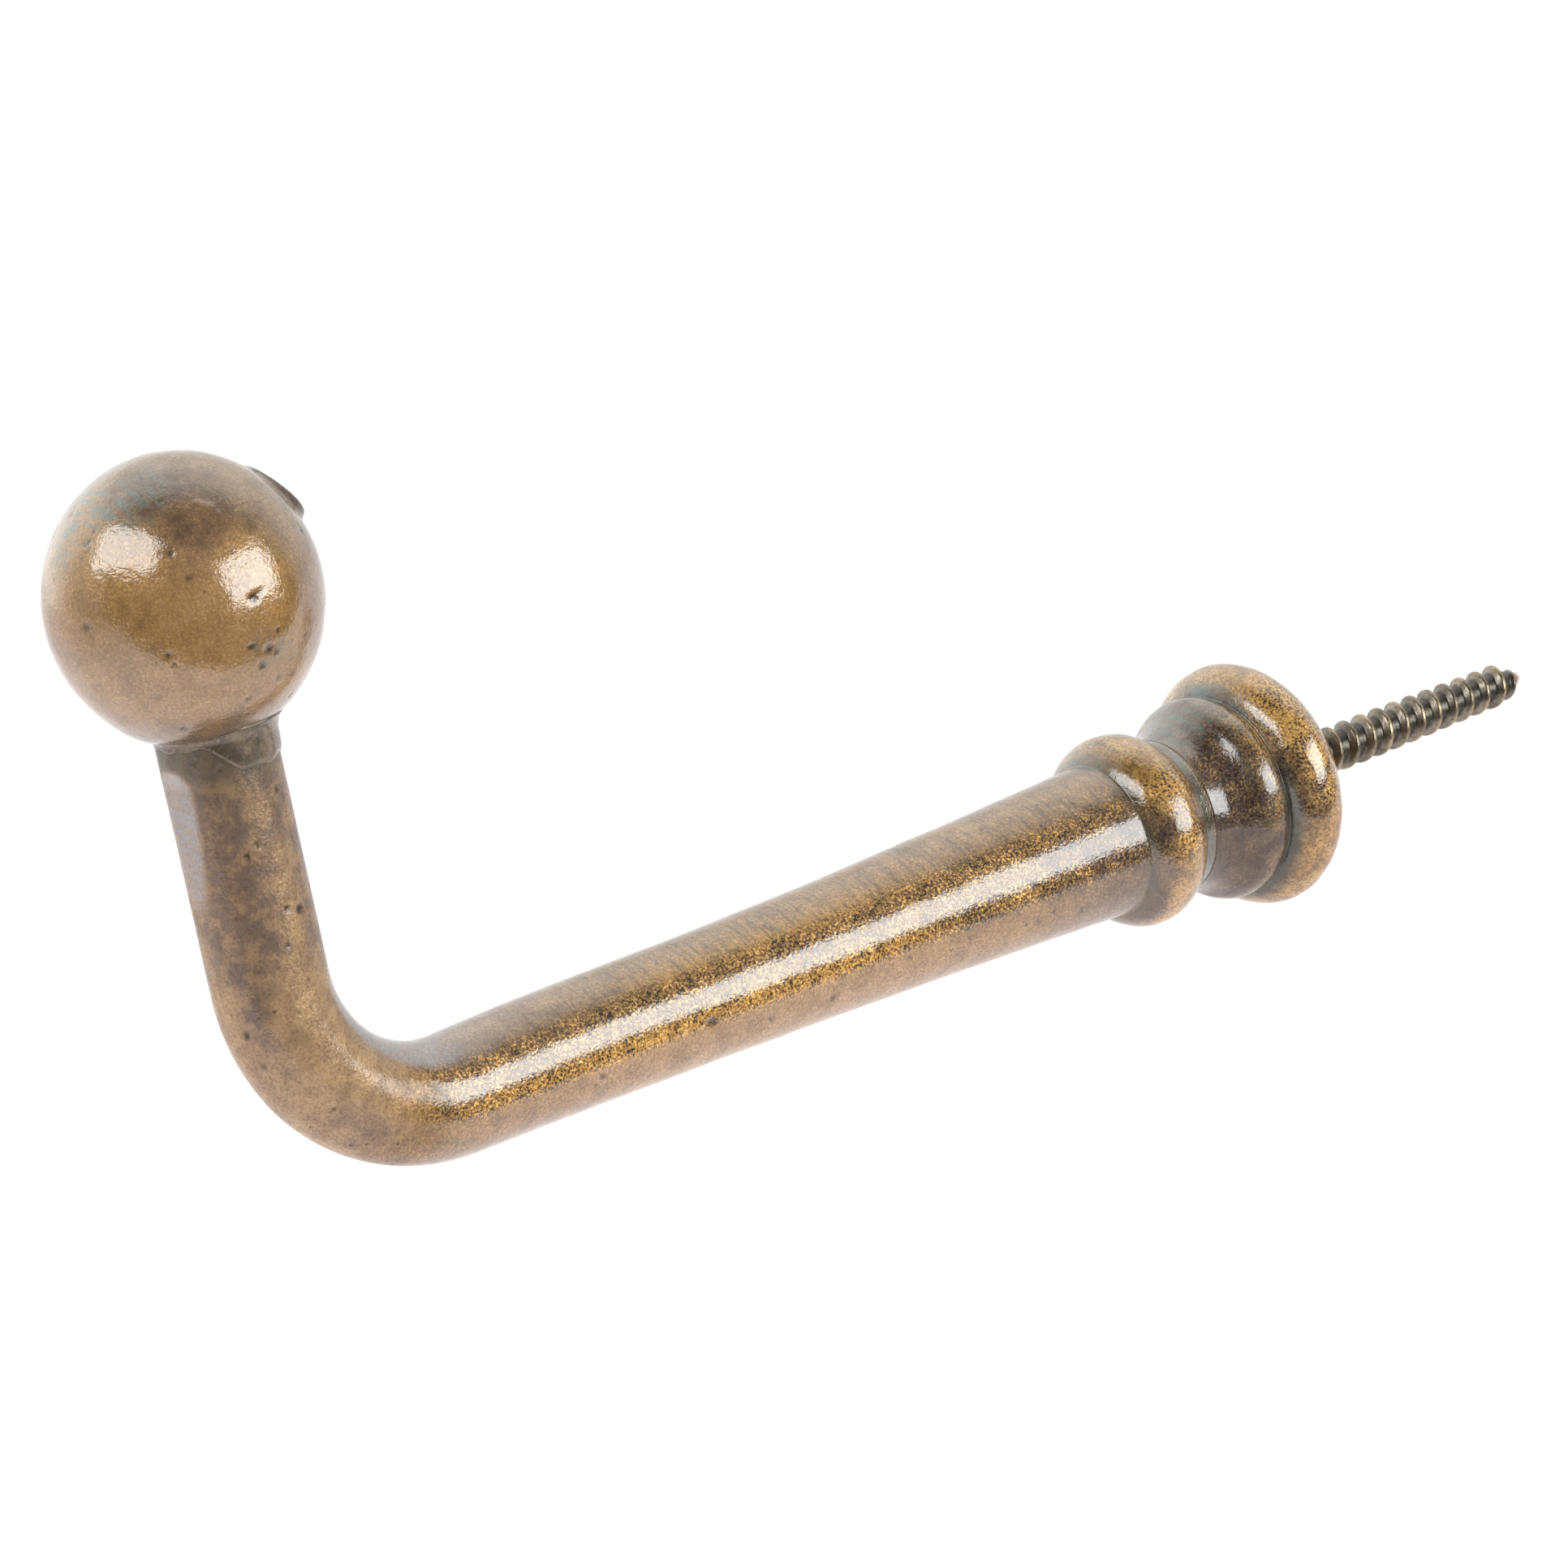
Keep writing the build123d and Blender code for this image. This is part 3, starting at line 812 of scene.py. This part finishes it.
class Nodes:
    """A node tree, built a node at a time."""

    def __init__(self, tree):
        self.tree = tree

    def node(self, kind, inputs=None, **settings):
        """A new node with those settings, and its inputs fed by values or by other nodes."""
        made = self.tree.nodes.new(kind)
        for name, value in settings.items():
            setattr(made, name, value)
        for key, value in (inputs or {}).items():
            self.feed(made.inputs[key], value)
        return made

    def feed(self, socket, value):
        """Links the socket to another node's output, or sets its value."""
        if isinstance(value, bpy.types.NodeSocket):
            self.tree.links.new(value, socket)
        else:
            socket.default_value = value

    def between(self, value, low, high, start=0.0, end=1.0):
        """From start where the value is low to end where it is high, on an S curve."""
        made = self.node("ShaderNodeMapRange", {
            "Value": value, "From Min": low, "From Max": high, "To Min": start, "To Max": end,
        }, interpolation_type="SMOOTHSTEP")
        return made.outputs["Result"]

    def math(self, operation, a, b=0.0):
        made = self.node("ShaderNodeMath", {0: a, 1: b}, operation=operation, use_clamp=False)
        return made.outputs[0]

    def times(self, a, b):
        return self.math("MULTIPLY", a, b)

    def mix(self, factor, a, b):
        """From colour a at 0 to colour b at 1."""
        made = self.node("ShaderNodeMix", data_type="RGBA")
        self.feed(made.inputs["Factor"], factor)
        for socket, value in zip([s for s in made.inputs if s.type == "RGBA"], (a, b)):
            self.feed(socket, value if isinstance(value, bpy.types.NodeSocket) else (*value, 1.0))
        return [s for s in made.outputs if s.type == "RGBA"][0]


class Shader(Nodes):
    """A material's nodes. Sizes are millimetres."""

    def __init__(self, name):
        self.material = bpy.data.materials.new(name)
        self.material.use_nodes = True
        super().__init__(self.material.node_tree)
        self.surface = self.tree.nodes["Principled BSDF"]
        self.place = self.node("ShaderNodeTexCoord").outputs["Object"]

    def grain(self, size, detail=2.0, roughness=0.5, stretch=(1, 1, 1), shift=0.0):
        """Noise from 0 to 1 whose features are about that size."""
        mapping = self.node("ShaderNodeMapping", {
            "Vector": self.place, "Scale": stretch, "Location": (shift, shift / 2, -shift),
        })
        made = self.node("ShaderNodeTexNoise", {
            "Vector": mapping.outputs[0], "Scale": 1 / (size * MM),
            "Detail": detail, "Roughness": roughness,
        })
        return made.outputs["Fac"]

    def spots(self, size, shift=0.0):
        """Distance to the nearest of scattered points, which are about that size apart."""
        mapping = self.node("ShaderNodeMapping", {
            "Vector": self.place, "Location": (shift, -shift, shift),
        })
        made = self.node("ShaderNodeTexVoronoi", {
            "Vector": mapping.outputs[0], "Scale": 1 / (size * MM),
        })
        return made.outputs["Distance"]

    def calmed(self, value, middle, life):
        """The value where life is 1, and its middle where life is 0."""
        swing = self.times(self.math("SUBTRACT", value, middle), life)
        return self.math("ADD", swing, middle)

    def mask(self, name):
        """The mesh's mask of that name."""
        return self.node("ShaderNodeAttribute", attribute_name=name).outputs["Fac"]

    def stained(self, under, mask, colour, amount):
        """The colour laid over what is under it, by that amount where the mask is 1."""
        return self.mix(self.times(self.mask(mask), amount), under, colour)

    def bump(self, height, depth, strength=1.0, under=None):
        """Tilts the surface as if it stood up by that depth where height is 1."""
        inputs = {"Height": height, "Distance": depth * MM, "Strength": strength}
        if under is not None:
            inputs["Normal"] = under
        return self.node("ShaderNodeBump", inputs).outputs["Normal"]

    def finish(self, **sockets):
        """The material, with the shader's sockets fed."""
        for name, value in sockets.items():
            self.feed(self.surface.inputs[name.replace("_", " ")], value)
        return self.material


DARK_BROWN = (0.030, 0.016, 0.008)
BROWN = (0.215, 0.108, 0.038)
GOLDEN = (0.335, 0.173, 0.055)
RICH_GOLD = (0.56, 0.290, 0.070)
BRIGHT_GOLD = (0.98, 0.570, 0.17)
PINKISH = (0.30, 0.168, 0.100)
ROSE_TAN = (0.46, 0.250, 0.135)
TAN = (0.52, 0.342, 0.195)
WARM_BROWN = (0.345, 0.218, 0.122)
PURPLE_BROWN = (0.080, 0.046, 0.043)
ASH_BROWN = (0.185, 0.130, 0.105)
DARK_GREEN = (0.060, 0.060, 0.045)
BLUE_GREEN = (0.105, 0.142, 0.125)
LAVENDER_GREY = (0.27, 0.255, 0.27)

FILLER_BROWN = (0.105, 0.080, 0.058)
FILLER_TAN = (0.200, 0.145, 0.095)
FILLER_DARK = (0.060, 0.047, 0.036)
FILLER_EDGE = (0.30, 0.25, 0.18)
FILLER_COPPER = (0.34, 0.21, 0.11)

BRONZE_DARK = (0.15, 0.130, 0.105)
BRONZE_LIGHT = (0.245, 0.212, 0.168)
BRONZE_SPECK = (0.06, 0.05, 0.04)
THREAD_GRIME_AND_SHADE = (0.050, 0.044, 0.038)
WORN_BRASS = (0.52, 0.37, 0.20)
BARE_TIP = (0.75, 0.48, 0.34)

STEEL_DARK = (0.42, 0.42, 0.42)
STEEL_LIGHT = (0.58, 0.57, 0.56)


def patina(m, clouds, patches):
    """The brown patina, golden where it is rubbed and where a golden glow is painted beside the lamps'
    highlights, and rosy tan where a reflection of the floor is painted.
    """
    colour = m.mix(m.between(clouds, 0.35, 0.65), BROWN, GOLDEN)
    colour = m.mix(m.between(patches, 0.50, 0.32, 0.0, 0.45), colour, DARK_BROWN)
    colour = m.mix(m.between(patches, 0.45, 0.72, 0.0, 0.6), colour, PINKISH)
    colour = m.stained(colour, "gold_and_glow", RICH_GOLD, m.between(patches, 0.35, 0.60, 0.65, 1.0))
    return m.stained(colour, "rosy_tone_and_floor_sheen", ROSE_TAN, m.between(patches, 0.40, 0.60, 0.45, 0.85))


def speckled(m, colour, patches, speckle, sparks):
    """The colour with sooty tarnish and painted shade, dark freckles and bright sparks over it, the
    sparks partly painted glints, and where the sparks are.
    """
    smoke_and_shade = m.times(m.mask("smoke_and_shade"), m.between(patches, 0.72, 0.35, 0.6, 1.0))
    colour = m.mix(smoke_and_shade, colour, PURPLE_BROWN)
    # speckle contrast, stronger in the bands beside the lamps' highlights as painted glints
    contrast_and_glints = m.mask("contrast_and_glints")
    freckles = m.times(m.between(speckle, 0.46, 0.54), m.between(patches, 0.35, 0.65, 1.0, 0.60))
    colour = m.mix(m.calmed(freckles, 0.38, contrast_and_glints), colour, DARK_BROWN)
    glitter = m.times(m.between(sparks, 0.52, 0.60), m.between(patches, 0.35, 0.70, 0.35, 0.85))
    glitter = m.times(m.calmed(glitter, 0.14, contrast_and_glints), m.between(smoke_and_shade, 0.0, 1.0, 1.0, 0.35))
    return m.mix(glitter, colour, BRIGHT_GOLD), glitter


def plain_finish(m, patches, speckle):
    """The even tan of the bend and the arm, ashen in places."""
    colour = m.mix(m.between(patches, 0.38, 0.62), WARM_BROWN, TAN)
    colour = m.stained(colour, "ash", ASH_BROWN, m.between(patches, 0.62, 0.42, 0.55, 1.0))
    return m.mix(m.times(m.between(speckle, 0.50, 0.62), 0.30), colour, DARK_BROWN)


def weathered(m, colour, clouds, patches, speckle, strokes):
    """The colour with worn edges, dirt and painted shade in creases, verdigris, pores and pits over it.
    """
    worn = m.times(m.between(patches, 0.35, 0.60), m.between(speckle, 0.62, 0.42, 0.0, 0.35))
    colour = m.stained(colour, "worn", BRIGHT_GOLD, worn)
    colour = m.stained(colour, "grime_and_shade", DARK_GREEN, m.between(speckle, 0.75, 0.30, 0.35, 1.0))
    streaks = m.times(m.between(patches, 0.40, 0.58), m.between(strokes, 0.42, 0.60, 0.20, 0.85))
    colour = m.stained(colour, "verdigris", BLUE_GREEN, streaks)
    pores = m.times(m.between(m.spots(1.9, 0.011), 0.06, 0.16, 1.0, 0.0), m.between(clouds, 0.45, 0.60))
    colour = m.mix(m.times(pores, 0.8), colour, DARK_BROWN)
    return m.stained(colour, "pit", DARK_BROWN, 0.85)


def antique_brass():
    """Brown patina over brass, rubbed through in a fine speckle with painted glints, under a clear
    lacquer.
    """
    m = Shader("antique_brass")
    clouds = m.grain(9.0, 3.0, 0.6)
    patches = m.grain(2.2, 4.0, 0.65, shift=0.013)
    speckle = m.grain(0.30, 3.0, 0.65, shift=0.027)
    sparks = m.grain(0.24, 2.0, 0.6, shift=0.041)
    strokes = m.grain(0.45, 2.0, 0.6, stretch=(0.12, 1, 0.12), shift=0.061)
    lines = m.grain(0.30, 2.0, 0.6, stretch=(0.10, 1, 1), shift=0.09)
    peel = m.grain(0.60, 2.0, 0.5, shift=0.05)
    fine = m.grain(0.24, 2.0, 0.55, shift=0.07)

    colour, glitter = speckled(m, patina(m, clouds, patches), patches, speckle, sparks)
    colour = m.stained(colour, "brushed", DARK_BROWN, m.between(strokes, 0.42, 0.70, 0.0, 0.50))
    plain = plain_finish(m, patches, speckle)
    colour = m.stained(colour, "plain", plain, m.between(patches, 0.35, 0.65, 0.9, 0.65))
    colour = weathered(m, colour, clouds, patches, speckle, strokes)
    colour = m.stained(colour, "ground", LAVENDER_GREY, m.between(lines, 0.36, 0.56, 0.95, 0.50))

    ground = m.mask("ground")
    metallic = m.math("MAXIMUM", m.between(glitter, 0.0, 1.0, 0.35, 0.8), m.times(ground, 0.9))
    base = m.bump(fine, 0.06, 0.9, m.bump(peel, 0.06, 0.8))
    base = m.bump(m.times(lines, ground), 0.06, 0.8, base)
    coat = m.bump(fine, 0.027, 0.8, m.bump(peel, 0.045, 0.7))
    return m.finish(
        Base_Color=colour, Metallic=metallic, Roughness=m.between(speckle, 0.35, 0.65, 0.44, 0.66),
        Normal=base, Coat_Weight=m.between(m.mask("dull"), 0.0, 1.0, 1.0, 0.35), Coat_Roughness=0.06,
        Coat_IOR=1.8, Coat_Normal=coat, Specular_IOR_Level=0.2,
    )


def braze_metal():
    """Dull filler metal, browner and more coppery in specks, with a painted highlight along its lower
    edge.
    """
    m = Shader("braze_filler")
    clouds = m.grain(2.0, 3.0, 0.6)
    speckle = m.grain(0.3, 2.0, 0.6, shift=0.02)
    colour = m.mix(m.between(clouds, 0.35, 0.65), FILLER_BROWN, FILLER_TAN)
    colour = m.mix(m.between(speckle, 0.55, 0.75, 0.0, 0.6), colour, FILLER_DARK)
    # painted highlight along the lower lip
    colour = m.stained(colour, "edge", FILLER_EDGE, 0.20)
    colour = m.mix(m.between(speckle, 0.42, 0.34, 0.0, 0.6), colour, FILLER_COPPER)
    return m.finish(
        Base_Color=colour, Metallic=0.6, Roughness=m.between(speckle, 0.3, 0.7, 0.42, 0.65),
        Normal=m.bump(speckle, 0.05, 0.8, m.bump(clouds, 0.12, 0.8)),
        Coat_Weight=0.8, Coat_Roughness=0.16,
    )


def bronzed_steel():
    """Bronze plating on steel, dark with dirt and painted shade in the thread's roots and worn to brass
    on its crests.
    """
    m = Shader("bronzed_steel")
    clouds = m.grain(3.0, 3.0, 0.6)
    speckle = m.grain(0.35, 2.0, 0.6, shift=0.02)
    colour = m.mix(m.between(clouds, 0.35, 0.65), BRONZE_DARK, BRONZE_LIGHT)
    colour = m.mix(m.between(speckle, 0.5, 0.75, 0.0, 0.6), colour, BRONZE_SPECK)
    colour = m.stained(colour, "grime_and_shade", THREAD_GRIME_AND_SHADE, 0.75)
    colour = m.stained(colour, "worn", WORN_BRASS, m.between(clouds, 0.38, 0.62, 0.10, 0.55))
    colour = m.mix(m.mask("bare"), colour, BARE_TIP)
    return m.finish(
        Base_Color=colour, Metallic=1.0, Roughness=m.between(speckle, 0.3, 0.7, 0.26, 0.45),
        Normal=m.bump(speckle, 0.02, 0.6),
    )


def plain_steel():
    """The stud's steel, drawn lengthways."""
    m = Shader("plain_steel")
    lines = m.grain(0.15, 2.0, 0.5, stretch=(1, 1, 0.05))
    colour = m.mix(lines, STEEL_DARK, STEEL_LIGHT)
    return m.finish(Base_Color=colour, Metallic=1.0, Roughness=m.between(lines, 0.2, 0.8, 0.3, 0.5))


# ---------------------------------------------------------------- the studio

CAMERA_AZIMUTH = radians(54.840)
CAMERA_ELEVATION = radians(12.930)
CAMERA_ROLL = radians(-11.211)
CAMERA_DISTANCE = 0.50781
CAMERA_TARGET = Vector((0, -0.055859, 0.015234))
CAMERA_ASIDE = (0.0045831, -0.00049463)
CAMERA_LENS = 117.88
SENSOR = 36.0
CLIP_START = 0.01
CLIP_END = 50

# softboxes, as (name, azimuth, elevation, distance, half width, half height, brightness), in degrees
# and metres, round a point on the stem
STUDIO_CENTRE = Vector((0, -0.07, 0.02))
LAMPS = [
    ("room_softbox", 8, 44, 0.4, 23, 13, 5.0),
    ("wall_softbox", 119, 9.5, 2.0, 22.5, 15.5, 6.0),
]
LAMP_TINT = (0.97, 1.015, 1.035)

FLOOR_DEPTH = 0.085
FLOOR_REACH = 4.0
FLOOR_EDGE = 0.138
FLOOR_COLOUR = (0.88, 0.845, 0.86, 1.0)
FLOOR_TINT = (1.0, 0.96, 0.975, 1.0)
FLOOR_GLOW = 0.31

# glows of the room, as (azimuth, elevation, cosine where one starts, where it is full, strength)
GLOWS = [
    (235, 15, 0.1, 0.6, 1.03),
    (300, 20, 0.4, 1.0, 0.82),
    (180, 50, 0.6, 0.9, 0.17),
    (105, 10, 0.5, 1.0, 0.13),
    (55, 5, 0.2, 0.9, 0.08),
    (200, 60, 0.84, 0.92, 0.42),
]
ROOM_TINT = (0.99, 1.003, 0.985)
WHITE = (1.0, 1.0, 1.0)


def towards(azimuth, elevation):
    """The way to a place in the studio: azimuth 0 is the room side, 90 degrees is +X."""
    level = cos(elevation)
    return Vector((sin(azimuth) * level, -cos(azimuth) * level, sin(elevation)))


def make_camera():
    """The camera, square to its own back, rolled, and moved aside from its target."""
    back = towards(CAMERA_AZIMUTH, CAMERA_ELEVATION)
    right = Vector((cos(CAMERA_AZIMUTH), sin(CAMERA_AZIMUTH), 0))
    up = back.cross(right)
    rolled_right = right * cos(CAMERA_ROLL) + up * sin(CAMERA_ROLL)
    rolled_up = up * cos(CAMERA_ROLL) - right * sin(CAMERA_ROLL)
    aside, above = CAMERA_ASIDE
    position = CAMERA_TARGET + back * CAMERA_DISTANCE - rolled_right * aside - rolled_up * above
    data = bpy.data.cameras.new("camera")
    data.lens = CAMERA_LENS
    data.sensor_width = SENSOR
    data.clip_start = CLIP_START
    data.clip_end = CLIP_END
    camera = bpy.data.objects.new("camera", data)
    bpy.context.scene.collection.objects.link(camera)
    turn = Matrix((rolled_right, rolled_up, back)).transposed().to_4x4()
    camera.matrix_world = Matrix.Translation(position) @ turn
    bpy.context.scene.camera = camera


def softbox(name, azimuth, elevation, distance, half_width, half_height, brightness):
    """A lamp's white front, which fills those angles as seen from the object."""
    data = bpy.data.lights.new(name, "AREA")
    data.shape = "RECTANGLE"
    data.size = 2 * distance * tan(radians(half_width))
    data.size_y = 2 * distance * tan(radians(half_height))
    data.energy = pi * data.size * data.size_y * brightness
    data.color = LAMP_TINT
    lamp = bpy.data.objects.new(name, data)
    bpy.context.scene.collection.objects.link(lamp)
    way = towards(radians(azimuth), radians(elevation))
    lamp.location = STUDIO_CENTRE + way * distance
    lamp.rotation_euler = way.to_track_quat("Z", "Y").to_euler()
    lamp.visible_camera = False


def make_floor():
    """A pale floor well below the hook, which ends on the camera's side of the stem."""
    mesh = bpy.data.meshes.new("floor")
    corners = [
        (FLOOR_EDGE, -FLOOR_REACH, -FLOOR_DEPTH), (FLOOR_EDGE, FLOOR_REACH, -FLOOR_DEPTH),
        (-FLOOR_REACH, FLOOR_REACH, -FLOOR_DEPTH), (-FLOOR_REACH, -FLOOR_REACH, -FLOOR_DEPTH),
    ]
    mesh.from_pydata(corners, [], [(0, 1, 2, 3)])
    floor = bpy.data.objects.new("floor", mesh)
    bpy.context.scene.collection.objects.link(floor)
    floor.visible_camera = False
    m = Shader("pale_floor")
    mesh.materials.append(m.finish(
        Base_Color=FLOOR_COLOUR, Roughness=0.9, Emission_Color=FLOOR_TINT, Emission_Strength=FLOOR_GLOW,
    ))


def make_world():
    """Pure white as the camera sees it; as the object sees it, a room with a few broad glows."""
    world = bpy.data.worlds.new("studio")
    world.use_nodes = True
    bpy.context.scene.world = world
    w = Nodes(world.node_tree)
    direction = w.node("ShaderNodeTexCoord").outputs["Generated"]
    total = 0.0
    for azimuth, elevation, start, full, strength in GLOWS:
        centre = towards(radians(azimuth), radians(elevation))
        cosine = w.node("ShaderNodeVectorMath", {0: direction, 1: centre}, operation="DOT_PRODUCT")
        glow = w.between(cosine.outputs["Value"], start, full, 0.0, strength)
        total = w.math("ADD", total, glow)
    camera_ray = w.node("ShaderNodeLightPath").outputs["Is Camera Ray"]
    strength = w.node("ShaderNodeMix", {"Factor": camera_ray, "A": total, "B": 1.0})
    background = world.node_tree.nodes["Background"]
    w.feed(background.inputs["Color"], w.mix(camera_ray, ROOM_TINT, WHITE))
    w.feed(background.inputs["Strength"], strength.outputs["Result"])


def main():
    make_camera()
    make_world()
    make_floor()
    for lamp in LAMPS:
        softbox(*lamp)
    brass = antique_brass()
    place(make_boss(), brass, "boss", "base_boss")
    place(make_casting(), brass, "hook", "arm")
    place(make_ball(), brass, "hook", "ball")
    place(make_braze(), braze_metal(), "hook", "braze_fillet")
    place(make_screw(), bronzed_steel(), "wall_screw", "hanger_screw")
    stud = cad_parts["ball_stud"]
    stud.data.materials.clear()
    stud.data.materials.append(plain_steel())
    bpy.context.scene.view_settings.view_transform = "Standard"


main()
